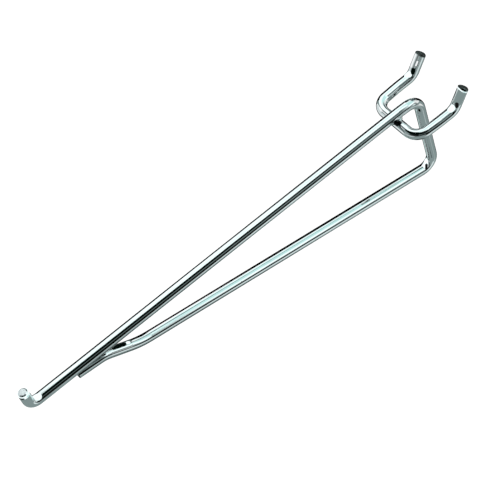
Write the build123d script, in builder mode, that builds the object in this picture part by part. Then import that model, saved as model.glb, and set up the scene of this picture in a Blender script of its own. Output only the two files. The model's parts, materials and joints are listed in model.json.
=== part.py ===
from build123d import *
import os
from math import cos, radians, sin, sqrt, tan

# A shelf bracket for a pegboard, bent from two round steel wires and welded together.
# The frame wire is the rail that the shelf rests on, its upturned lip, the leg that
# bears on the board and the brace below. The peg wire is a flat U that crosses under
# the rail. Its ends go through two holes of the board and hook up behind it.
# The plane y = 0 is the front face of the board. The origin lies on it, midway between
# the two pegs and level with their axes. The rail reaches out towards -Y and +Z is up.
# Sizes are in millimetres and degrees. Bend radii are those of the wire's axis.

# Both wires
wire_diameter = 4.5
crossing_bite = 0.45  # how far the wires sink into each other where they cross

# Peg wire
peg_pitch = 25.4  # between the pegs' axes at the board, one pitch of its holes
crosspiece_standoff = 14.2  # from the board to the crosspiece's axis
arm_bend_radius = 5.5
arm_splay = 2.5  # how far each arm leans outwards on its way back to the board
straight_length = 2.5  # in front of the board, from where the pegs are parallel
straight_bend_radius = 40.0
hook_corner_depth = 5.0  # from the board's front face to where a peg turns up
hook_length = 10.4  # from that corner to the hook's end
hook_angle = 52.0  # between the hook and the board's normal
hook_bend_radius = 5.0
shear_angle = 14.0  # slope of the facet that the cutter left on a hook's end
shear_offset = 0.4  # from the hook's axis to the edge of that facet

# Frame wire, from the lip back to the board
reach = 197.0  # from the board to the front of the lip
lip_height = 7.5  # above the top of the rail
lip_chamfer = 0.8
lip_bend_radius = 3.6
rail_dip = 0.6  # how far the rail sinks on its way into the rear bend
rail_dip_length = 8.5
rail_dip_radius = 50.0
rear_bend_radius = 6.2

# Frame wire, down the leg and forward along the brace
leg_drop = 44.2  # from the rail's axis to where the leg's and brace's axes meet
foot_bend_radius = 5.2
crank_length = 14.6  # along the rail, the steeper stretch where the brace meets it
crank_rise = 8.25
crank_low_radius = 30.0
crank_high_radius = 11.0
run_length = 12.4  # along the rail, where the brace's end is welded to it
run_setback = 21.0  # from the lip's axis to the brace's cut end
run_rear_bite = 0.15  # how far brace and rail sink into each other, at both run ends
run_front_bite = 1.7

# Weld metal squeezed out round the crossing
bead_radius = 0.8
bead_spread = 0.65  # from the edge of the wires' contact to the middle of the bead

wire_radius = wire_diameter / 2

# The rail lies on the crosspiece, and the leg's back touches the board.
rail_z = wire_diameter - crossing_bite
leg_y = -wire_radius
lip_y = -reach + wire_radius

lip_end = (lip_y, rail_z + wire_radius + lip_height)
lip_corner = (lip_y, rail_z)
dip_corner = (leg_y - rail_dip_length, rail_z)
rear_corner = (leg_y, rail_z - rail_dip)
foot_corner = (leg_y, rail_z - leg_drop)

run_front_y = lip_y + run_setback
run_rear_y = run_front_y + run_length
run_front_z = rail_z - wire_diameter + run_front_bite
run_rear_z = rail_z - wire_diameter + run_rear_bite
crank_corner = (run_rear_y + crank_length, run_rear_z - crank_rise)
brace_middle = (
    (foot_corner[0] + crank_corner[0]) / 2,
    (foot_corner[1] + crank_corner[1]) / 2,
)

# The frame wire is one wire. It is swept in two stretches that meet halfway along the
# brace, so that the brace's end can sink into its own rail where the two are welded.
with BuildPart() as frame_wire:
    with BuildLine(Plane.YZ) as rail_and_leg:
        FilletPolyline(
            lip_end,
            lip_corner,
            dip_corner,
            rear_corner,
            foot_corner,
            brace_middle,
            radius=[lip_bend_radius, rail_dip_radius, rear_bend_radius, foot_bend_radius],
        )
    with BuildSketch(Plane(rail_and_leg.line @ 0, z_dir=rail_and_leg.line % 0)):
        Circle(wire_radius)
    sweep(path=rail_and_leg.wire())

    with BuildLine(Plane.YZ) as cranked_brace:
        FilletPolyline(
            brace_middle,
            crank_corner,
            (run_rear_y, run_rear_z),
            (run_front_y, run_front_z),
            radius=[crank_low_radius, crank_high_radius],
        )
    with BuildSketch(Plane(cranked_brace.line @ 0, z_dir=cranked_brace.line % 0)):
        Circle(wire_radius)
    sweep(path=cranked_brace.wire())

    lip_rim = frame_wire.edges().filter_by(GeomType.CIRCLE).sort_by(Axis.Z)[-1]
    chamfer(lip_rim, lip_chamfer)

# The peg wire runs from one hook's end, round the U, to the other hook's end. Its arms
# lean outwards from the U's corners and turn parallel shortly before the board.
peg_x = peg_pitch / 2
arm_length = crosspiece_standoff - straight_length
corner_x = peg_x - arm_length * tan(radians(arm_splay))
hook_direction = Vector(0, cos(radians(hook_angle)), sin(radians(hook_angle)))
hook_corner = Vector(0, hook_corner_depth, 0)
hook_end = hook_corner + hook_direction * hook_length

with BuildPart() as peg_wire:
    with BuildLine() as hooks_and_arms:
        FilletPolyline(
            hook_end - (peg_x, 0, 0),
            hook_corner - (peg_x, 0, 0),
            (-peg_x, -straight_length, 0),
            (-corner_x, -crosspiece_standoff, 0),
            (corner_x, -crosspiece_standoff, 0),
            (peg_x, -straight_length, 0),
            hook_corner + (peg_x, 0, 0),
            hook_end + (peg_x, 0, 0),
            radius=[
                hook_bend_radius,
                straight_bend_radius,
                arm_bend_radius,
                arm_bend_radius,
                straight_bend_radius,
                hook_bend_radius,
            ],
        )
    with BuildSketch(Plane(hooks_and_arms.line @ 0, z_dir=hooks_and_arms.line % 0)):
        Circle(wire_radius)
    sweep(path=hooks_and_arms.wire())

    # The cutter left a slanting facet beside the square face of each hook's end.
    for peg_axis_x in (-peg_x, peg_x):
        facet_edge = hook_end + (peg_axis_x + shear_offset, 0, 0)
        square_end = Plane(facet_edge, x_dir=(1, 0, 0), z_dir=hook_direction)
        with Locations(square_end.rotated((0, shear_angle, 0))):
            Box(
                2 * wire_diameter,
                2 * wire_diameter,
                wire_diameter,
                align=(Align.CENTER, Align.CENTER, Align.MIN),
                mode=Mode.SUBTRACT,
            )

    # The saddle that the rail sank into when the crossing was welded
    add(frame_wire.part, mode=Mode.SUBTRACT)

# A ring of weld metal in the wedge between the wires, round the patch where they touch
contact_radius = sqrt(wire_diameter * crossing_bite)

with BuildPart() as crossing_weld:
    with Locations((0, -crosspiece_standoff, rail_z / 2)):
        Torus(contact_radius + bead_spread, bead_radius)
    add(frame_wire.part, mode=Mode.SUBTRACT)
    add(peg_wire.part, mode=Mode.SUBTRACT)

os.makedirs("parts", exist_ok=True)
frame_wire.part.label = "frame_wire"
peg_wire.part.label = "peg_wire"
crossing_weld.part.label = "crossing_weld"
export_step(frame_wire.part, "parts/frame_wire.step")
export_step(peg_wire.part, "parts/peg_wire.step")
export_step(crossing_weld.part, "parts/crossing_weld.step")
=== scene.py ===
import bmesh
import bpy
import json
from math import cos, pi, radians, sin
from mathutils import Euler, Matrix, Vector

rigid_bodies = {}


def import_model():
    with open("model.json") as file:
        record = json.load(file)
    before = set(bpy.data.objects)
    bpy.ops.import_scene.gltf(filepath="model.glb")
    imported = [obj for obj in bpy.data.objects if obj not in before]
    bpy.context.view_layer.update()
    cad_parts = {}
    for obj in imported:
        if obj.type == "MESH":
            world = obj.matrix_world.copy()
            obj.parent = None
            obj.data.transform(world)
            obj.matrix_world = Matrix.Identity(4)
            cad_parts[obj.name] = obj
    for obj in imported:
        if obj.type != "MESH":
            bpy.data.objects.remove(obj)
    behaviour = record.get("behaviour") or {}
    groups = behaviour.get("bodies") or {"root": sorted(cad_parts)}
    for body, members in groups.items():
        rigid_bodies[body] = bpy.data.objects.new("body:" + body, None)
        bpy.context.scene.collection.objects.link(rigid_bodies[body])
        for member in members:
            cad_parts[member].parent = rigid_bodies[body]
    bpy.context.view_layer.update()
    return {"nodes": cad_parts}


# A shelf bracket of bright plated wire for a pegboard, held over a plain pale floor in
# soft studio light. A tent of pale and black panels round it, which the camera doesn't
# see, gives the polished wire something to mirror. Lengths are in metres, in the frame of
# the solids: the board's front face is y = 0, the rail reaches out towards -Y and +Z is up.

for starter in list(bpy.data.objects):
    bpy.data.objects.remove(starter)

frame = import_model()

MM = 0.001
BRACKET_MIDDLE = (0, -0.09, 0)

# The studio
FLOOR_SIZE = 8
FLOOR_Z = -0.30
FLOOR_GLOW = 0.3  # added where the floor is seen, so that it shows white
SURROUNDINGS_LEVEL = 0.8  # how brightly they light the bracket, where 1 is white
LAMP_PLACE = (-0.5, 0.2, 1.9)
LAMP_SIZE = 1.6
TENT_RADIUS = 2.5
TENT_BOTTOM_Z = -0.29

# The wires' ends
LIP_TOP = 13.8 * MM
PEG_X = 12.7 * MM  # from the middle to a peg's axis
HOOK_CORNER_Y = 5.0 * MM  # where a peg's axis turns up
HOOK_LENGTH = 10.4 * MM
HOOK_ANGLE = radians(52)
SHEAR_ANGLE = radians(14)  # of the facet beside a hook's square end
SHEAR_OFFSET = 0.4 * MM  # from the hook's axis to that facet
CUT_DEPTH, CUT_BLEND = 0.03 * MM, 0.04 * MM  # of a hook's cut end
ROLLED_DEPTH, ROLLED_BLEND = 0.62 * MM, 0.15 * MM  # of the edge that is rolled over there
ROLLED_EDGE_FACING = (-0.033, 0.002, 0.999)
LIP_RIM_FACING = (-0.004, 0.174, 0.985)

# The turn that makes each stretch of wire run along Z
BRACE_ANGLE = radians(12.33)  # the brace's slope down towards the board
RAIL_OR_PEG_TURN = (radians(90), 0, 0)
BRACE_TURN = (radians(90) - BRACE_ANGLE, 0, 0)
UPRIGHT_TURN = (0, 0, 0)
CROSSPIECE_TURN = (0, radians(-90), 0)
HOOK_TURN = (radians(90) - HOOK_ANGLE, 0, 0)

# Parts of the wires, each of them what lies beyond one plane or beyond both of two: the
# direction that a plane faces, its distance from the origin and the length over which the
# finish changes there
BELOW_RAIL = ((0, 0, -1), -0.5 * MM, 3 * MM)
BY_THE_BOARD = ((0, 1, 0), -5.5 * MM, 4 * MM)
LIP = ((0, -1, 0), 191 * MM, 4 * MM)
LIP_CUT = ((0, 0, 1), LIP_TOP - 0.05 * MM, 0.06 * MM)
LIP_RIM = (
    ((0, 0, 1), LIP_TOP - 1.9 * MM, 0.3 * MM),
    ((0, 0, -1), 0.45 * MM - LIP_TOP, 0.2 * MM),
)
BRACE_CUT = (
    ((0, -0.985, -0.125), 171.2 * MM, 0.06 * MM),
    ((0, 0, -1), -1.2 * MM, 0.4 * MM),
)
CROSSPIECE = ((0, -1, 0), 10.5 * MM, 3 * MM)
HOOKS = ((0, 0.45, 0.9), 3.6 * MM, 2 * MM)
LEFT_SIDE = ((-1, 0, 0), 0, 1 * MM)
RIGHT_SIDE = ((1, 0, 0), 0, 1 * MM)
HOOK_FRONT = ((0.45, -0.70, 0.55), 2.6 * MM, 0.3 * MM)

# Small flats that the bending tool pressed into the wires. Each has a stretch, from start
# to stop, its reach round that, both in millimetres, and the direction that it faces.
FLAT_BLEND = 0.35
HOOK_FLATS = {
    "left hook's front": (
        (-13.3, 9.3, 8.9), (-13.2, 6.1, 4.9), 0.6, (-0.133, -0.505, 0.853),
    ),
    "left hook's inner side": (
        (-11.35, 8.3, 7.15), (-11.35, 7.2, 5.75), 0.45, (-0.134, -0.505, 0.853),
    ),
    "inside of the left hook's bend": (
        (-12.9, 3.2, 2.3), (-12.5, 3.8, 2.45), 1.35, (-0.019, 0.014, 1.0),
    ),
    "right of the left hook's bend": (
        (-11.75, 5.8, 4.0), (-11.4, 5.0, 3.2), 0.85, (0.368, -0.402, 0.838),
    ),
    "inside of the right hook's bend": (
        (13.0, 3.5, 2.4), (13.2, 4.3, 2.7), 1.35, (-0.035, 0.010, 0.999),
    ),
    "right hook's outer side": (
        (14.2, 6.9, 5.0), (14.2, 9.6, 8.3), 1.9, (0.647, -0.605, 0.464),
    ),
    "right of the right hook's bend": (
        (14.1, 6.1, 4.1), (14.4, 5.7, 3.2), 0.7, (0.471, -0.558, 0.683),
    ),
}
FRAME_FLATS = {
    "rail's top behind the lip": (
        (0.3, -191.6, 6.3), (0.8, -190.9, 6.2), 1.35, (-0.007, 0.171, 0.985),
    ),
    "crank's lower end": (
        (0.2, -151.2, -3.5), (0.2, -150.8, -3.7), 0.75, (-0.012, 0.138, 0.990),
    ),
    "rail's side over the crank": (
        (1.6, -162.2, 2.3), (1.5, -160.9, 1.9), 0.8, (-0.010, 0.146, 0.989),
    ),
    "crank's top": (
        (0.2, -156.9, -0.2), (0.2, -152.6, -2.7), 0.95, (-0.169, 0.458, 0.873),
    ),
    "inside of the foot bend": (
        (-0.2, -5.4, -35.9), (1.0, -6.9, -36.9), 1.15, (-0.039, 0.026, 0.999),
    ),
    "right of the foot bend": (
        (0.9, -6.3, -36.7), (1.7, -7.2, -37.4), 0.5, (0.470, -0.545, 0.694),
    ),
}

# A painted shadow and dark reflection beside the weld, round the same stretch on all three
# pieces, in millimetres
PAINTED_SHADE_STRETCH = ((2.3, -15.6, 2.2), (2.9, -14.6, 2.3))
PAINTED_SHADE_REACH = {"frame wire": 0.95, "peg wire": 1.05, "weld": 1.0}
PAINTED_SHADE_BLEND = 0.3

# Colours of the plated steel, of its cut ends, which are mottled in two, and of the painted
# shade and reflection by the weld
BRIGHT_PLATING = (0.88, 0.89, 0.89)
DULL_PLATING = (0.825, 0.835, 0.84)
DEEP_LINE = (0.65, 0.665, 0.67)
NICK = (0.42, 0.44, 0.44)
BRIGHT_WELD = (0.66, 0.69, 0.69)
DULL_WELD = (0.44, 0.46, 0.46)
WELD_PIT = (0.16, 0.15, 0.14)
PALE_CUT = ((0.74, 0.72, 0.75), (0.97, 0.98, 0.98))
DARK_CUT = ((0.16, 0.18, 0.18), (0.80, 0.82, 0.81))
# Painted shade and dark reflection beside the weld
PAINTED_SHADE = (0.02, 0.022, 0.022)

# How rough the finishes are. The wires' and the weld's plating pass from their brightest
# to their dullest.
WIRE_ROUGHNESS = (0.045, 0.085)
WELD_ROUGHNESS = (0.16, 0.32)
CUT_ROUGHNESS = 0.18
NICK_ROUGHNESS = 0.4
DEEP_LINE_ROUGHNESS = 0.08  # added to the wires'

# Sizes of the patterns in the finishes, and how deep their relief is
LINE_WIDTH = 0.22 * MM
LINE_LENGTH = 18 * MM
WIRE_CLOUD_SIZE = 14 * MM
WIRE_NICK_SIZE = 2.1 * MM
WIRE_RELIEF = 0.02 * MM
CUT_MOTTLE_SIZE = 1.1 * MM
WELD_CLOUD_SIZE = 2.2 * MM
WELD_NICK_SIZE = 1.1 * MM
WELD_RELIEF = 0.08 * MM

# The tent that the polished wire mirrors. Each panel on its grey cloth has its middle
# (turn about the bracket and height, in degrees), its sides and its levels from there,
# how the sides and the levels lean, how soft they are, and its colour.
TENT_GREY = (0.247, 0.316, 0.313)
PANELS = {
    "high white panel": (
        (-168, 59), (-76, 77), (-41, 41), (0.00, -0.02), (0.05, 0.00), (4, 2),
        (1.18, 1.32, 1.32),
    ),
    "left pale panel": (
        (-63, 14), (-15, 23), (-38, 40), (0.05, -0.24), (-0.22, -0.69), (2, 2),
        (1.03, 1.05, 1.06),
    ),
    "front pale panel": (
        (-24, -4), (-50, 46), (-5, 24), (-0.10, 0.63), (0.16, -0.10), (6, 2),
        (0.682, 0.77, 0.775),
    ),
    "black strip over the front": (
        (24, 28), (-51, 59), (-16, -4), (-0.14, -0.58), (-0.02, 0.20), (6, 11),
        (0, 0, 0),
    ),
    "low right pale panel": (
        (115, -31), (-23, 17), (-15, 9), (-0.16, 0.41), (-0.43, -0.48), (32, 2),
        (0.766, 0.873, 0.872),
    ),
    "right rear pale panel": (
        (159, -3), (-39, 53), (-5, 25), (0.49, -0.07), (0.03, 0.63), (2, 2),
        (0.908, 0.942, 0.938),
    ),
    "cool right panel": (
        (141, 34), (-1, 55), (-25, 19), (-2.47, 1.03), (-0.27, 0.34), (50, 5),
        (0.63, 0.95, 0.93),
    ),
    "black overhead": (
        (18, 61), (-100, 105), (-19, 28), (-0.87, 0.02), (-0.10, -0.12), (2, 11),
        (0, 0.003, 0.002),
    ),
    "right black strip": (
        (102, 16), (-20, 5), (-33, 15), (-0.05, -0.75), (0.07, 0.01), (21, 4),
        (0, 0.001, 0),
    ),
    "left black panel": (
        (-100, -24), (-13, 19), (-38, 47), (-0.10, -0.23), (0.10, 1.05), (2, 2),
        (0, 0, 0),
    ),
    "high left black panel": (
        (-126, 16), (-12, 23), (-12, 20), (-0.02, -0.16), (-0.96, -0.16), (9, 2),
        (0, 0, 0),
    ),
    "rear left black panel": (
        (-152, -18), (-13, 3), (-43, 44), (-0.20, 0.51), (0.00, -0.33), (27, 2),
        (0.003, 0.013, 0.01),
    ),
    "low left black panel": (
        (-126, -41), (-45, 7), (-45, 18), (-0.13, 0.27), (-0.09, -0.62), (6, 2),
        (0, 0, 0),
    ),
    "left black strip": (
        (-126, -8), (6, 14), (-27, 13), (0.10, 0.02), (-0.08, 0.01), (2, 2),
        (0, 0, 0),
    ),
    "left pale strip by the floor": (
        (-117, -74), (-19, 46), (1, 15), (0.23, 0.74), (-0.01, 0.13), (2, 2),
        (0.629, 0.801, 0.779),
    ),
    "thin black strip in front": (
        (-70, -54), (-31, 26), (0, 4), (-0.06, 0.22), (0.26, 0.23), (2, 2),
        (0, 0, 0),
    ),
    "right black panel by the floor": (
        (101, -60), (-26, 49), (-34, -4), (2.21, -0.45), (0.08, -0.13), (2, 2),
        (0, 0, 0),
    ),
    "right grey patch": (
        (125, 52), (-8, 6), (-7, 3), (0.32, 0.31), (0.23, 0.67), (2, 2),
        (0.253, 0.342, 0.342),
    ),
    "left bright strip": (
        (-120, 33), (-3, 1), (-5, 9), (-0.06, -0.52), (-0.22, 0.04), (2, 2),
        (1.3, 1.23, 1.23),
    ),
    "low right rear pale patch": (
        (149, -27), (-11, 8), (-9, 9), (1.04, -0.24), (-0.14, -0.62), (2, 2),
        (0.833, 0.868, 0.855),
    ),
    "rear left dark strip": (
        (-148, -8), (-8, -5), (18, 33), (-0.27, -0.07), (-0.14, -0.11), (2, 2),
        (0.06, 0.139, 0.181),
    ),
    "rear pale strip by the floor": (
        (-165, -60), (-18, 14), (2, 7), (-0.04, -0.01), (0.21, 0.38), (4, 2),
        (0.807, 0.889, 0.779),
    ),
    "black band in front": (
        (27, 32), (-34, 23), (-6, 15), (0.12, 0.04), (-0.06, 0.03), (6, 9),
        (0.009, 0.009, 0.009),
    ),
}


# Shader nodes

def add_node(tree, kind, **settings):
    """A new node with its properties set."""
    made = tree.nodes.new(kind)
    for name, value in settings.items():
        setattr(made, name, value)
    return made


def fill(socket, value):
    """Links an input to the output of another node, or gives it a value of its own."""
    if isinstance(value, bpy.types.NodeSocket):
        socket.id_data.links.new(value, socket)
    elif socket.type == "RGBA":
        socket.default_value = (*value, 1)
    else:
        socket.default_value = value


def fill_inputs(node, **values):
    """Fills the inputs of these names, with underscores for their spaces."""
    for name, value in values.items():
        fill(node.inputs[name.replace("_", " ")], value)


def calculate(tree, operation, *values):
    """The result of one step of arithmetic."""
    step = add_node(tree, "ShaderNodeMath", operation=operation)
    for socket, value in zip(step.inputs, values):
        fill(socket, value)
    return step.outputs[0]


def calculate_vector(tree, operation, *values):
    """The result of one step with places or directions. Two of the steps give a number."""
    step = add_node(tree, "ShaderNodeVectorMath", operation=operation)
    for socket, value in zip(step.inputs, values):
        fill(socket, value)
    return step.outputs["Value" if operation in ("DOT_PRODUCT", "DISTANCE") else "Vector"]


# Where a Mix node has its low input, its high input and its output for each kind of value
MIX_SOCKETS = {"FLOAT": (2, 3, 0), "VECTOR": (4, 5, 1), "RGBA": (6, 7, 2)}


def mix(tree, factor, low, high, kind="FLOAT"):
    """The value that passes from low to high as factor goes from 0 to 1."""
    mixed = add_node(tree, "ShaderNodeMix", data_type=kind)
    low_input, high_input, output = MIX_SOCKETS[kind]
    fill(mixed.inputs[0], factor)
    fill(mixed.inputs[low_input], low)
    fill(mixed.inputs[high_input], high)
    return mixed.outputs[output]


def mix_colour(tree, factor, low, high):
    """The colour that passes from low to high as factor goes from 0 to 1."""
    return mix(tree, factor, low, high, "RGBA")


def ease(tree, value, start, stop):
    """Passes softly from 0 to 1 as the value goes from start to stop."""
    step = add_node(tree, "ShaderNodeMapRange", interpolation_type="SMOOTHSTEP")
    fill_inputs(step, Value=value, From_Min=start, From_Max=stop)
    return step.outputs[0]


def soft_edge(tree, inside, blend):
    """A mask with a soft edge as wide as the blend. Inside is the distance in from the edge."""
    return ease(tree, calculate(tree, "DIVIDE", inside, blend), -0.5, 0.5)


def all_of(tree, first, *others):
    """A mask that is 1 where all the given masks are."""
    mask = first
    for other in others:
        mask = calculate(tree, "MULTIPLY", mask, other)
    return mask


def new_group(name, vectors, numbers, results):
    """An empty node group with its named inputs, which are vectors or numbers, and results."""
    group = bpy.data.node_groups.new(name, "ShaderNodeTree")
    for labels, in_out, kind in (
        (vectors, "INPUT", "NodeSocketVector"),
        (numbers, "INPUT", "NodeSocketFloat"),
        (results, "OUTPUT", "NodeSocketFloat"),
    ):
        for label in labels:
            group.interface.new_socket(label, in_out=in_out, socket_type=kind)
    given = group.nodes.new("NodeGroupInput").outputs
    return group, given, group.nodes.new("NodeGroupOutput")


def place_group(tree, group, **values):
    """The results of a node group that is placed in a material with its own values."""
    placed = add_node(tree, "ShaderNodeGroup", node_tree=group)
    fill_inputs(placed, **values)
    return placed.outputs


# Camera, floor and light

def add_camera():
    """The camera at the photograph's viewing angle, above and to the right of the lip."""
    lens = bpy.data.cameras.new("camera")
    lens.sensor_width = 36
    lens.lens = 137.38
    lens.clip_start = 0.01
    lens.clip_end = 20
    camera = bpy.data.objects.new("camera", lens)
    camera.location = (0.408462, -0.236252, 0.594656)
    camera.rotation_euler = Euler(map(radians, (33.68359, 12.91907, 51.88551)))
    bpy.context.scene.collection.objects.link(camera)
    bpy.context.scene.camera = camera


def seen_directly_or_mirrored(tree):
    """1 for what the camera, a mirror or glass shows, and 0 for light that falls on things."""
    rays = add_node(tree, "ShaderNodeLightPath").outputs
    seen = calculate(tree, "MAXIMUM", rays["Is Camera Ray"], rays["Is Glossy Ray"])
    return calculate(tree, "MAXIMUM", seen, rays["Is Transmission Ray"])


def light_world():
    """White surroundings, which light the bracket at a plain level."""
    world = bpy.data.worlds.new("white surroundings")
    world.use_nodes = True
    bpy.context.scene.world = world
    tree = world.node_tree
    tree.nodes.clear()
    seen = seen_directly_or_mirrored(tree)
    level = add_node(tree, "ShaderNodeMapRange")
    fill_inputs(level, Value=seen, To_Min=SURROUNDINGS_LEVEL, To_Max=1.0)
    background = add_node(tree, "ShaderNodeBackground")
    fill_inputs(background, Color=(1, 1, 1), Strength=level.outputs[0])
    output = add_node(tree, "ShaderNodeOutputWorld")
    fill_inputs(output, Surface=background.outputs[0])


def add_lamp():
    """A soft lamp overhead, a little to the left, that looks as bright as white."""
    lamp = bpy.data.lights.new("overhead lamp", "AREA")
    lamp.shape = "RECTANGLE"
    lamp.size = lamp.size_y = LAMP_SIZE
    lamp.energy = pi * LAMP_SIZE ** 2
    holder = bpy.data.objects.new("overhead lamp", lamp)
    holder.location = LAMP_PLACE
    direction = Vector(BRACKET_MIDDLE) - Vector(LAMP_PLACE)
    holder.rotation_euler = direction.to_track_quat("-Z", "Y").to_euler()
    holder.visible_camera = False
    holder.visible_glossy = False
    bpy.context.scene.collection.objects.link(holder)


def matt_material(name, colour):
    """A matt finish without a shine, for the floor and the tent."""
    material = bpy.data.materials.new(name)
    material.use_nodes = True
    shader = material.node_tree.nodes["Principled BSDF"]
    fill_inputs(shader, Base_Color=colour, Roughness=0.9, Specular_IOR_Level=0.0)
    return material, material.node_tree, shader


def add_object(name, shape, material):
    """Puts a finished bmesh into the scene as an object."""
    mesh = bpy.data.meshes.new(name)
    shape.to_mesh(mesh)
    shape.free()
    mesh.materials.append(material)
    made = bpy.data.objects.new(name, mesh)
    bpy.context.scene.collection.objects.link(made)
    return made


def add_floor():
    """A plain pale floor under the bracket that shows white and keeps its shadow."""
    material, tree, shader = matt_material("pale floor", (0.85, 0.85, 0.85))
    glow = calculate(tree, "MULTIPLY", seen_directly_or_mirrored(tree), FLOOR_GLOW)
    fill_inputs(shader, Emission_Color=(1, 1, 1), Emission_Strength=glow)
    sheet = bmesh.new()
    bmesh.ops.create_grid(sheet, x_segments=1, y_segments=1, size=FLOOR_SIZE / 2)
    bmesh.ops.translate(sheet, vec=(0, 0, FLOOR_Z), verts=sheet.verts)
    add_object("floor", sheet, material)


def make_panel():
    """The mask of a panel hung round the bracket. Its edges are in degrees from its middle."""
    edges = ("Left", "Right", "Low", "High")
    group, given, made = new_group(
        "hung panel",
        (),
        ("Turn", "Height", "Middle Turn", "Middle Height")
        + edges
        + tuple(edge + " Lean" for edge in edges)
        + ("Side Blend", "Level Blend"),
        ("Mask",),
    )
    turned = calculate(group, "SUBTRACT", given["Turn"], given["Middle Turn"])
    across = calculate(group, "WRAP", turned, 180.0, -180.0)
    up = calculate(group, "SUBTRACT", given["Height"], given["Middle Height"])
    masks = []
    for edge, along, beside, blend in (
        ("Left", across, up, "Side Blend"),
        ("Right", across, up, "Side Blend"),
        ("Low", up, across, "Level Blend"),
        ("High", up, across, "Level Blend"),
    ):
        lean = calculate(group, "MULTIPLY", given[edge + " Lean"], beside)
        line = calculate(group, "ADD", given[edge], lean)
        order = (along, line) if edge in ("Left", "Low") else (line, along)
        masks.append(soft_edge(group, calculate(group, "SUBTRACT", *order), given[blend]))
    fill_inputs(made, Mask=all_of(group, *masks))
    return group


PANEL = make_panel()


def turn_and_height(tree, place):
    """Where a place is, in degrees from the bracket's middle. Turn 0 is out along the rail."""
    away = calculate_vector(tree, "SUBTRACT", place, BRACKET_MIDDLE)
    parts = add_node(tree, "ShaderNodeSeparateXYZ")
    fill_inputs(parts, Vector=calculate_vector(tree, "NORMALIZE", away))
    outwards = calculate(tree, "MULTIPLY", parts.outputs["Y"], -1.0)
    turn = calculate(tree, "ARCTAN2", parts.outputs["X"], outwards)
    height = calculate(tree, "ARCSINE", parts.outputs["Z"])
    return calculate(tree, "DEGREES", turn), calculate(tree, "DEGREES", height)


def tent_colour(tree, place):
    """The panels painted over the grey cloth of the tent, each over the ones before it."""
    turn, height = turn_and_height(tree, place)
    cloth = TENT_GREY
    for middle, sides, levels, side_leans, level_leans, blends, colour in PANELS.values():
        mask = place_group(
            tree, PANEL, Turn=turn, Height=height,
            Middle_Turn=middle[0], Middle_Height=middle[1],
            Left=sides[0], Right=sides[1], Low=levels[0], High=levels[1],
            Left_Lean=side_leans[0], Right_Lean=side_leans[1],
            Low_Lean=level_leans[0], High_Lean=level_leans[1],
            Side_Blend=blends[0], Level_Blend=blends[1],
        )["Mask"]
        cloth = mix_colour(tree, mask, cloth, colour)
    return cloth


def add_tent():
    """The tent, flat just above the floor, which only the wire's reflections show."""
    material, tree, shader = matt_material("tent", (0, 0, 0))
    place = add_node(tree, "ShaderNodeTexCoord").outputs["Object"]
    fill_inputs(shader, Emission_Color=tent_colour(tree, place), Emission_Strength=1.0)
    shell = bmesh.new()
    bmesh.ops.create_uvsphere(shell, u_segments=96, v_segments=48, radius=TENT_RADIUS)
    bmesh.ops.translate(shell, vec=BRACKET_MIDDLE, verts=shell.verts)
    for vert in shell.verts:
        vert.co.z = max(vert.co.z, TENT_BOTTOM_Z)
    bmesh.ops.reverse_faces(shell, faces=shell.faces)
    tent = add_object("tent", shell, material)
    tent.visible_camera = False
    tent.visible_diffuse = False
    tent.visible_shadow = False


# Effects that several finishes use

def make_draw_lines():
    """Fine lines that the drawing die left along the wire, for a place whose Z runs along it."""
    group, given, made = new_group(
        "draw lines", ("Along Z",), ("Width", "Length"), ("Lines", "Deep Lines")
    )
    across = calculate(group, "DIVIDE", 1.0, given["Width"])
    along = calculate(group, "DIVIDE", 1.0, given["Length"])
    scale = add_node(group, "ShaderNodeCombineXYZ")
    fill_inputs(scale, X=across, Y=across, Z=along)
    stretched = calculate_vector(group, "MULTIPLY", given["Along Z"], scale.outputs[0])
    noise = add_node(group, "ShaderNodeTexNoise")
    fill_inputs(noise, Vector=stretched, Scale=1.0, Detail=3.0, Roughness=0.6)
    lines = noise.outputs["Fac"]
    fill_inputs(made, Lines=lines, Deep_Lines=ease(group, lines, 0.58, 0.72))
    return group


def make_plating_cloud():
    """Slow variation in how bright the plating came out."""
    group, given, made = new_group("plating cloud", ("Place",), ("Size",), ("Cloud",))
    scale = calculate(group, "DIVIDE", 1.0, given["Size"])
    noise = add_node(group, "ShaderNodeTexNoise")
    fill_inputs(noise, Vector=given["Place"], Scale=scale, Detail=2.0, Roughness=0.5)
    fill_inputs(made, Cloud=ease(group, noise.outputs["Fac"], 0.35, 0.65))
    return group


def make_small_nicks():
    """Small dull nicks and specks from handling, sparse and of different strength."""
    group, given, made = new_group("small nicks", ("Place",), ("Size",), ("Nicks",))
    scale = calculate(group, "DIVIDE", 1.0, given["Size"])
    cells = add_node(group, "ShaderNodeTexVoronoi", feature="F1")
    fill_inputs(cells, Vector=given["Place"], Scale=scale)
    spots = ease(group, cells.outputs["Distance"], 0.16, 0.05)
    where = add_node(group, "ShaderNodeTexNoise")
    fill_inputs(where, Vector=given["Place"], Scale=90.0, Detail=1.0)
    sparse = ease(group, where.outputs["Fac"], 0.52, 0.68)
    fill_inputs(made, Nicks=all_of(group, spots, sparse))
    return group


def make_beyond():
    """The mask of what lies beyond a plane, at a distance from the origin in its direction."""
    group, given, made = new_group(
        "beyond a plane", ("Place", "Direction"), ("Distance", "Blend"), ("Mask",)
    )
    reach = calculate_vector(group, "DOT_PRODUCT", given["Place"], given["Direction"])
    past = calculate(group, "SUBTRACT", reach, given["Distance"])
    fill_inputs(made, Mask=soft_edge(group, past, given["Blend"]))
    return group


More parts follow.
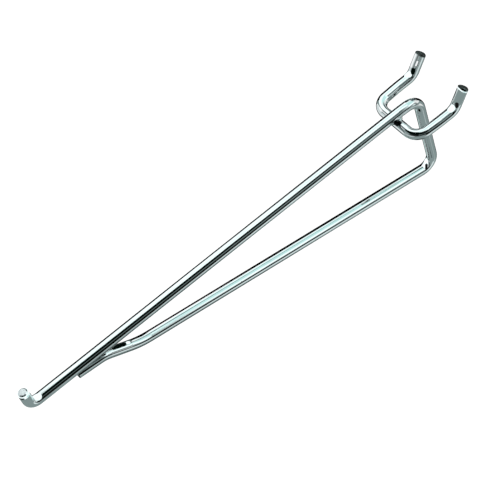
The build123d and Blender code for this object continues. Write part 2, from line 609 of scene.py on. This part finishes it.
def make_near_stretch():
    """The mask of what lies within reach of a short straight stretch."""
    group, given, made = new_group(
        "near a stretch",
        ("Place", "Middle", "Direction"),
        ("Half Length", "Reach", "Blend"),
        ("Mask",),
    )
    away = calculate_vector(group, "SUBTRACT", given["Place"], given["Middle"])
    along = calculate_vector(group, "DOT_PRODUCT", away, given["Direction"])
    before = calculate(group, "MINIMUM", along, given["Half Length"])
    backwards = calculate(group, "MULTIPLY", given["Half Length"], -1.0)
    nearest = add_node(group, "ShaderNodeVectorMath", operation="SCALE")
    step = calculate(group, "MAXIMUM", before, backwards)
    fill_inputs(nearest, Vector=given["Direction"], Scale=step)
    apart = calculate_vector(group, "DISTANCE", away, nearest.outputs["Vector"])
    inside = calculate(group, "SUBTRACT", given["Reach"], apart)
    fill_inputs(made, Mask=soft_edge(group, inside, given["Blend"]))
    return group


DRAW_LINES = make_draw_lines()
PLATING_CLOUD = make_plating_cloud()
SMALL_NICKS = make_small_nicks()
BEYOND = make_beyond()
NEAR_STRETCH = make_near_stretch()


def mask_beyond(tree, place, *planes):
    """1 beyond all the given planes, passing to 0 in front of them over their blends."""
    masks = [
        place_group(
            tree, BEYOND, Place=place, Direction=facing, Distance=distance, Blend=blend
        )["Mask"]
        for facing, distance, blend in planes
    ]
    return all_of(tree, *masks)


def mask_stretch(tree, place, start, stop, reach, blend):
    """1 near the stretch from start to stop, passing to 0 at its reach. In millimetres."""
    stretch = Vector(stop) - Vector(start)
    return place_group(
        tree, NEAR_STRETCH, Place=place, Middle=(Vector(start) + stretch / 2) * MM,
        Direction=stretch.normalized(), Half_Length=stretch.length / 2 * MM,
        Reach=reach * MM, Blend=blend * MM,
    )["Mask"]


def mask_painted_shade(tree, place, piece):
    """1 where shade and a dark reflection are painted beside the weld."""
    return mask_stretch(tree, place, *PAINTED_SHADE_STRETCH, PAINTED_SHADE_REACH[piece], PAINTED_SHADE_BLEND)


def stretch_lines(tree, place, turn):
    """The lines and deep lines along a stretch of wire, which the turn makes run along Z."""
    turned = add_node(tree, "ShaderNodeMapping")
    fill_inputs(turned, Vector=place, Rotation=turn)
    lines = place_group(
        tree, DRAW_LINES, Along_Z=turned.outputs[0], Width=LINE_WIDTH, Length=LINE_LENGTH
    )
    return lines["Lines"], lines["Deep Lines"]


def wire_lines(tree, place, turn, *others):
    """Draw lines that follow a wire. Each other stretch has its own turn and its mask."""
    lines = stretch_lines(tree, place, turn)
    for other_turn, mask in others:
        there = stretch_lines(tree, place, other_turn)
        lines = [mix(tree, mask, old, new) for old, new in zip(lines, there)]
    return lines


def turn_normal(tree, mask, normal, facing):
    """The surface's normal, turned to the given facing where the mask is 1."""
    turned = mix(tree, mask, normal, facing, "VECTOR")
    return calculate_vector(tree, "NORMALIZE", turned)


def press_flats(tree, place, flats):
    """The surface's normal with the small flats that were pressed into the wire."""
    normal = add_node(tree, "ShaderNodeNewGeometry").outputs["Normal"]
    for start, stop, reach, facing in flats.values():
        mask = mask_stretch(tree, place, start, stop, reach, FLAT_BLEND)
        normal = turn_normal(tree, mask, normal, facing)
    return normal


# Finishes

def new_plating(name):
    """A metal finish, and the place on the object for its patterns."""
    material = bpy.data.materials.new(name)
    material.use_nodes = True
    tree = material.node_tree
    shader = tree.nodes["Principled BSDF"]
    fill_inputs(shader, Metallic=1.0)
    return material, tree, shader, add_node(tree, "ShaderNodeTexCoord").outputs["Object"]


def raise_relief(tree, shader, height, strength, distance, normal=None):
    """Gives a finish its fine relief, on the given normal or on the surface's own."""
    bump = add_node(tree, "ShaderNodeBump")
    fill_inputs(bump, Strength=strength, Distance=distance, Height=height)
    if normal is not None:
        fill_inputs(bump, Normal=normal)
    fill_inputs(shader, Normal=bump.outputs[0])


def colour_plating(tree, place, cloud, nicks, deep_lines, ends, cut_colours, painted_shade):
    """The plating's colour, down from its brightest to the cut ends and the shade painted by the
    weld.
    """
    colour = mix_colour(tree, cloud, BRIGHT_PLATING, DULL_PLATING)
    colour = mix_colour(tree, calculate(tree, "MULTIPLY", deep_lines, 0.35), colour, DEEP_LINE)
    colour = mix_colour(tree, calculate(tree, "MULTIPLY", nicks, 0.5), colour, NICK)
    mottles = place_group(tree, PLATING_CLOUD, Place=place, Size=CUT_MOTTLE_SIZE)["Cloud"]
    colour = mix_colour(tree, ends, colour, mix_colour(tree, mottles, *cut_colours))
    # Shade and a dark reflection are painted beside the weld.
    return mix_colour(tree, painted_shade, colour, PAINTED_SHADE)


def finish_wire(tree, shader, place, lines, normal, ends, cut_colours, painted_shade):
    """The bright plating of a drawn wire, with its cut ends mottled and shade painted by the
    weld.
    """
    fine_lines, deep_lines = lines
    cloud = place_group(tree, PLATING_CLOUD, Place=place, Size=WIRE_CLOUD_SIZE)["Cloud"]
    nicks = place_group(tree, SMALL_NICKS, Place=place, Size=WIRE_NICK_SIZE)["Nicks"]
    colour = colour_plating(tree, place, cloud, nicks, deep_lines, ends, cut_colours, painted_shade)

    roughness = mix(tree, cloud, *WIRE_ROUGHNESS)
    in_lines = calculate(tree, "MULTIPLY", deep_lines, DEEP_LINE_ROUGHNESS)
    roughness = calculate(tree, "ADD", roughness, in_lines)
    roughness = mix(tree, nicks, roughness, NICK_ROUGHNESS)
    roughness = mix(tree, ends, roughness, CUT_ROUGHNESS)
    fill_inputs(shader, Base_Color=colour, Roughness=roughness)

    dents = calculate(tree, "MULTIPLY", nicks, 0.8)
    height = calculate(tree, "SUBTRACT", fine_lines, dents)
    raise_relief(tree, shader, height, 0.12, WIRE_RELIEF, normal)


def plate_frame_wire():
    """The frame wire's plating, with the lip's rim rolled over below its cut face."""
    material, tree, shader, place = new_plating("plated frame wire")
    by_the_board = mask_beyond(tree, place, BY_THE_BOARD)
    upright = calculate(tree, "MAXIMUM", by_the_board, mask_beyond(tree, place, LIP))
    brace = mask_beyond(tree, place, BELOW_RAIL)
    lines = wire_lines(
        tree, place, RAIL_OR_PEG_TURN, (BRACE_TURN, brace), (UPRIGHT_TURN, upright)
    )
    lip_end = mask_beyond(tree, place, LIP_CUT)
    ends = calculate(tree, "MAXIMUM", lip_end, mask_beyond(tree, place, *BRACE_CUT))
    normal = press_flats(tree, place, FRAME_FLATS)
    rim = mask_beyond(tree, place, *LIP_RIM)
    normal = turn_normal(tree, rim, normal, LIP_RIM_FACING)
    # Shade and a dark reflection are painted beside the weld.
    painted_shade = mask_painted_shade(tree, place, "frame wire")
    finish_wire(tree, shader, place, lines, normal, ends, PALE_CUT, painted_shade)
    return material


def hook_ends(tree, place, depth, blend):
    """1 at the hooks' cut ends, as deep as given under the square face and the facet."""
    along = (0, cos(HOOK_ANGLE), sin(HOOK_ANGLE))
    reach = HOOK_CORNER_Y * cos(HOOK_ANGLE) + HOOK_LENGTH
    ends = mask_beyond(tree, place, (along, reach - depth, blend))
    slope = (sin(SHEAR_ANGLE), along[1] * cos(SHEAR_ANGLE), along[2] * cos(SHEAR_ANGLE))
    for peg_x, side in ((-PEG_X, LEFT_SIDE), (PEG_X, RIGHT_SIDE)):
        distance = (peg_x + SHEAR_OFFSET) * slope[0] + reach * cos(SHEAR_ANGLE)
        facet = mask_beyond(tree, place, (slope, distance - depth, blend), side)
        ends = calculate(tree, "MAXIMUM", ends, facet)
    return ends


def plate_peg_wire():
    """The peg wire's plating, with the front edge of the right hook's end rolled over."""
    material, tree, shader, place = new_plating("plated peg wire")
    crosspiece = mask_beyond(tree, place, CROSSPIECE)
    hooks = mask_beyond(tree, place, HOOKS)
    lines = wire_lines(
        tree, place, RAIL_OR_PEG_TURN, (CROSSPIECE_TURN, crosspiece), (HOOK_TURN, hooks)
    )
    ends = hook_ends(tree, place, CUT_DEPTH, CUT_BLEND)
    normal = press_flats(tree, place, HOOK_FLATS)
    near_end = hook_ends(tree, place, ROLLED_DEPTH, ROLLED_BLEND)
    front = mask_beyond(tree, place, RIGHT_SIDE, HOOK_FRONT)
    rolled = all_of(tree, near_end, front, calculate(tree, "SUBTRACT", 1.0, ends))
    normal = turn_normal(tree, rolled, normal, ROLLED_EDGE_FACING)
    # Shade and a dark reflection are painted beside the weld.
    painted_shade = mask_painted_shade(tree, place, "peg wire")
    finish_wire(tree, shader, place, lines, normal, ends, DARK_CUT, painted_shade)
    return material


def plate_weld():
    """The weld ring's plating, duller and rippled where the metal was squeezed out."""
    material, tree, shader, place = new_plating("plated weld")
    cloud = place_group(tree, PLATING_CLOUD, Place=place, Size=WELD_CLOUD_SIZE)["Cloud"]
    nicks = place_group(tree, SMALL_NICKS, Place=place, Size=WELD_NICK_SIZE)["Nicks"]
    colour = mix_colour(tree, cloud, BRIGHT_WELD, DULL_WELD)
    colour = mix_colour(tree, calculate(tree, "MULTIPLY", nicks, 0.7), colour, WELD_PIT)
    # Shade and a dark reflection are painted beside the weld.
    colour = mix_colour(tree, mask_painted_shade(tree, place, "weld"), colour, PAINTED_SHADE)
    fill_inputs(shader, Base_Color=colour, Roughness=mix(tree, cloud, *WELD_ROUGHNESS))
    ripples = add_node(tree, "ShaderNodeTexNoise")
    fill_inputs(ripples, Vector=place, Scale=1500.0, Detail=2.0)
    raise_relief(tree, shader, ripples.outputs["Fac"], 0.5, WELD_RELIEF)
    return material


def dress(node, material):
    """Gives a wire or weld its finish."""
    piece = frame["nodes"][node]
    piece.data.materials.clear()
    piece.data.materials.append(material)


add_camera()
light_world()
add_floor()
add_tent()
add_lamp()
dress("frame_wire", plate_frame_wire())
dress("peg_wire", plate_peg_wire())
dress("crossing_weld", plate_weld())

bpy.context.scene.view_settings.view_transform = "Standard"
